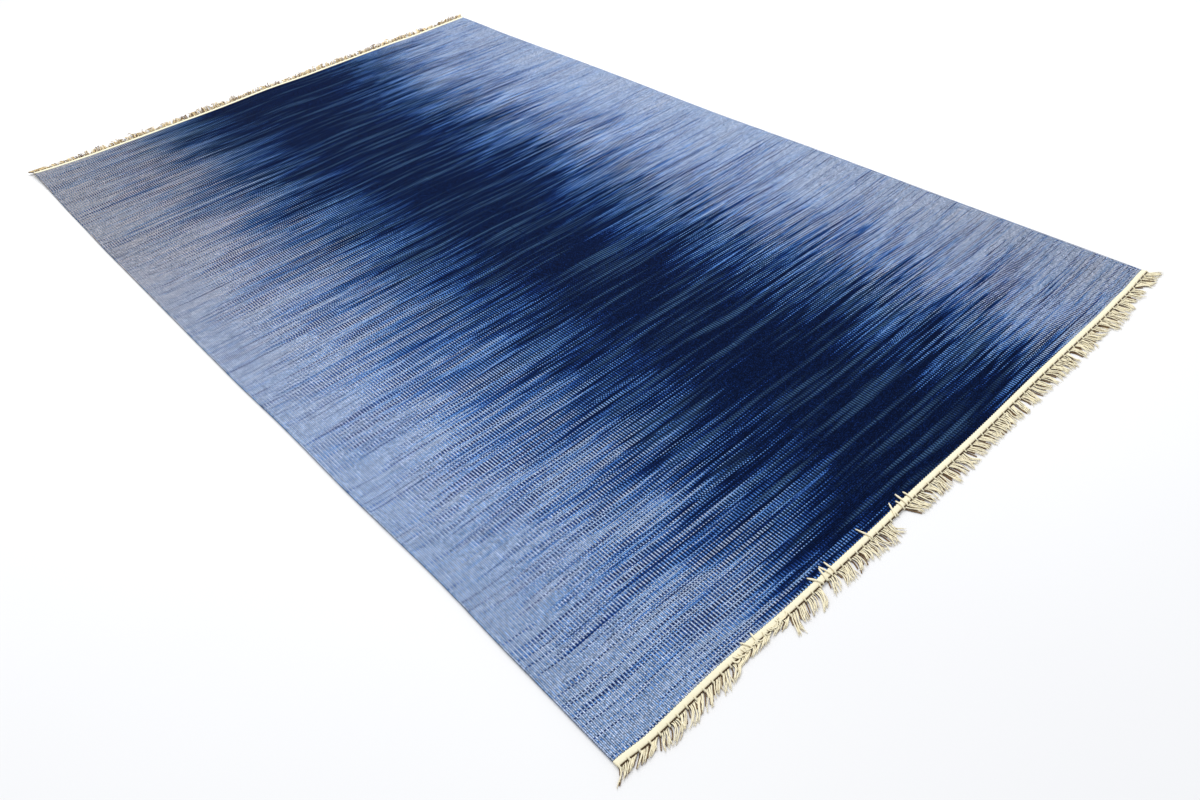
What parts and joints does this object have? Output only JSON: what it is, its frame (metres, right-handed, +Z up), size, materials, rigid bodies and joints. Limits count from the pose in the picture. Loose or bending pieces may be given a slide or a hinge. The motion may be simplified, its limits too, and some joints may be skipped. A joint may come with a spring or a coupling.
{
  "type": "dhurrie",
  "caption": "Flat-woven rectangular rug with an indigo ombre field, corded long sides, and a narrow cream heading with a knotted fringe at each end, lying flat on the floor.",
  "frame": {"origin": "on the floor, under the middle of the rug", "axes": "+X across the width, +Y along the length towards the far fringe, +Z up"},
  "size_m": [1.5689, 2.5603, 0.0063],
  "materials": {
    "field_weave": "weft-faced flat weave of dyed yarn, shading across the width from pale blue sides to a navy middle, with streaks and fine ladder-like stitches",
    "fringe_cotton": "undyed cream cotton: a smooth woven heading and loose plied warp ends"
  },
  "bodies": {
    "root": {"field": "field_weave", "fringe_near": "fringe_cotton", "fringe_far": "fringe_cotton"}
  },
  "joints": []
}
